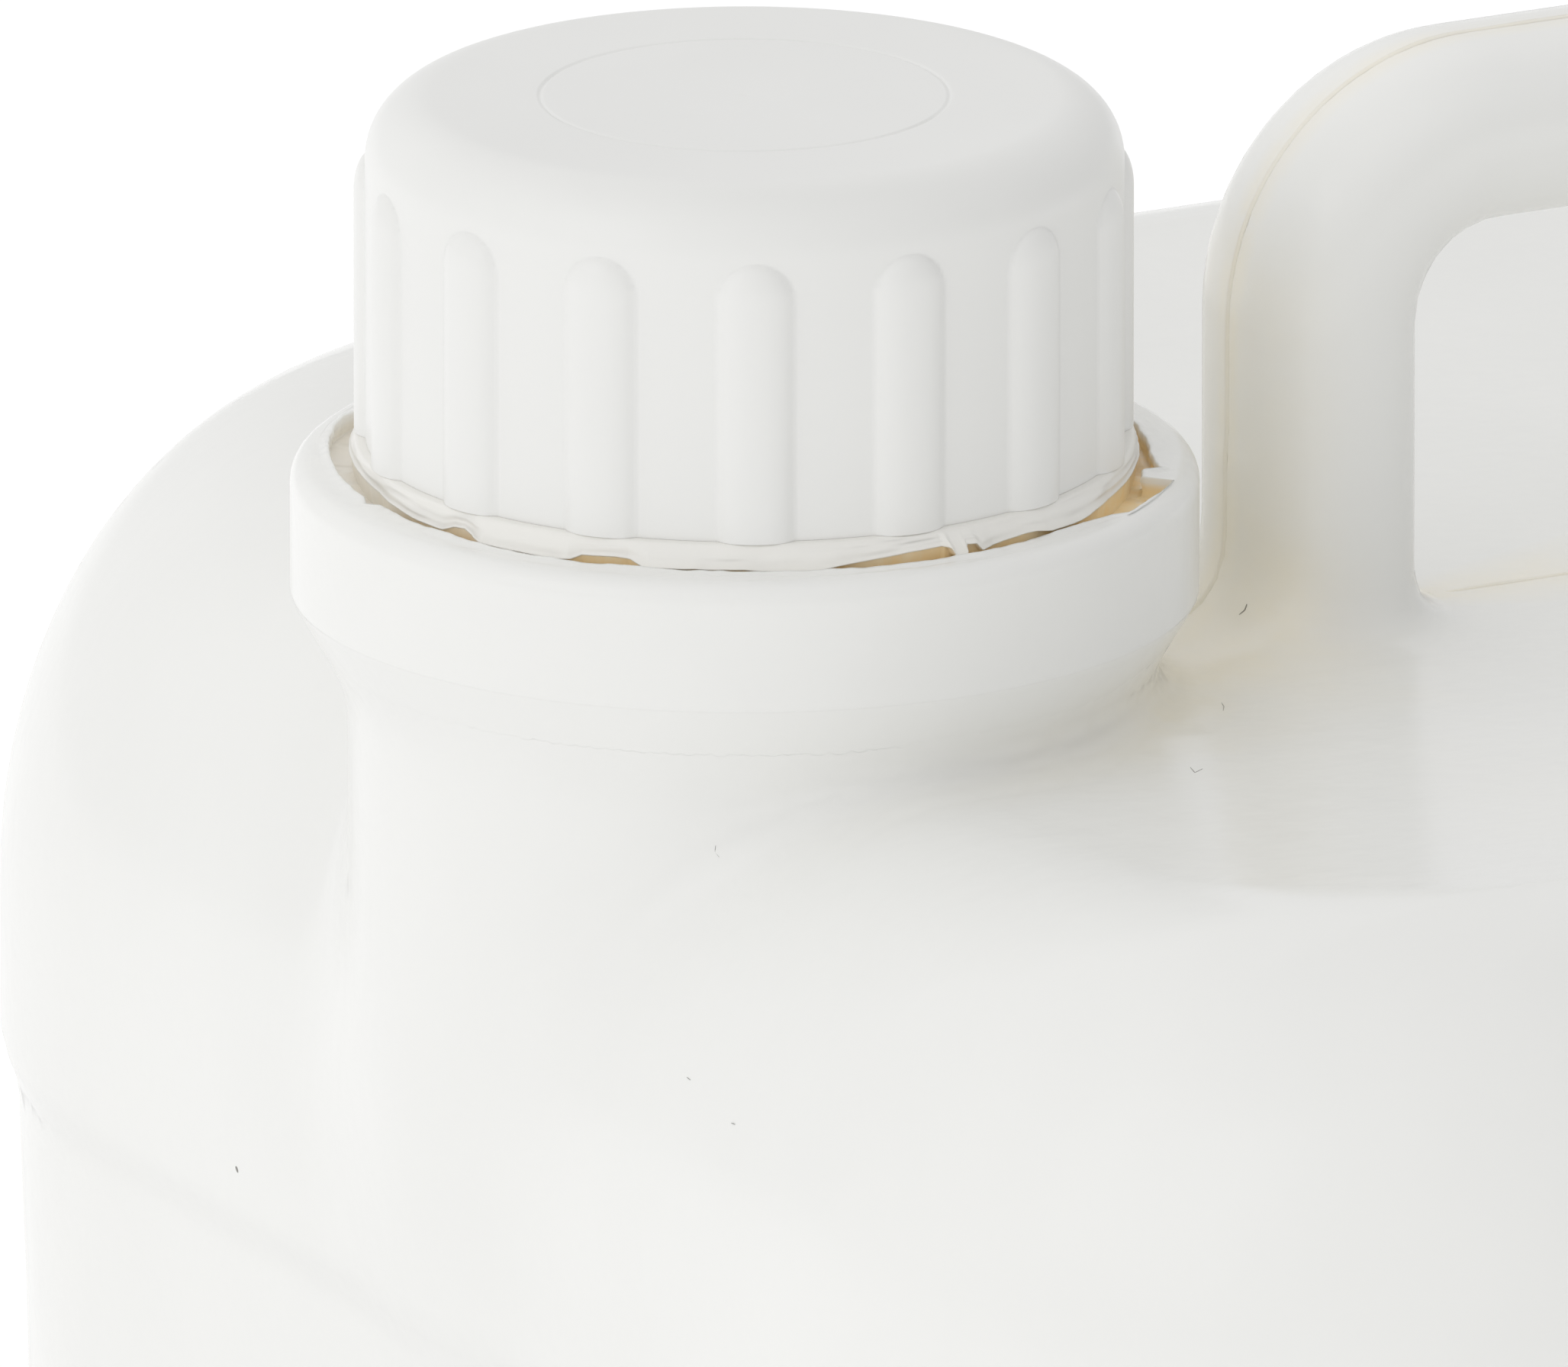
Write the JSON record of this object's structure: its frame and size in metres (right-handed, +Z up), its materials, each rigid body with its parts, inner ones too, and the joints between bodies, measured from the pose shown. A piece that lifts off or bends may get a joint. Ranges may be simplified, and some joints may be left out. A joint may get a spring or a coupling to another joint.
{
  "type": "hair conditioner jug",
  "caption": "Blow-moulded plastic jug with an integral tube handle, a collared screw neck, a ribbed screw cap and the torn remains of its tamper band.",
  "frame": {"origin": "middle of the overall outline at the level of the base", "axes": "+Z up along the neck, +X from the neck along the handle to the far end, +Y across the handle"},
  "size_m": [0.2446, 0.2178, 0.285],
  "materials": {
    "jug_plastic": "satin blow-moulded opaque white",
    "band_plastic": "thin torn translucent white",
    "liner_foam": "white foam wad",
    "cap_plastic": "satin injection-moulded opaque white"
  },
  "bodies": {
    "jug": {"jug_body": "jug_plastic", "tamper_band": "band_plastic"},
    "liner": {"cap_liner": "liner_foam"},
    "cap": {"screw_cap": "cap_plastic"}
  },
  "joints": [
    {"name": "cap_rise", "type": "slide", "parent": "jug", "child": "liner", "axis": [0, 0, 1], "range_m": [0, 0.0076]},
    {"name": "cap_turn", "type": "hinge", "parent": "liner", "child": "cap", "pos_m": [-0.0892, 0, 0.2816], "axis": [0, 0, 1], "range_deg": [0, 540]}
  ],
  "couplings": [
    {"joint": "cap_rise", "follows": "cap_turn", "m_per_rad": 0.00079577}
  ]
}
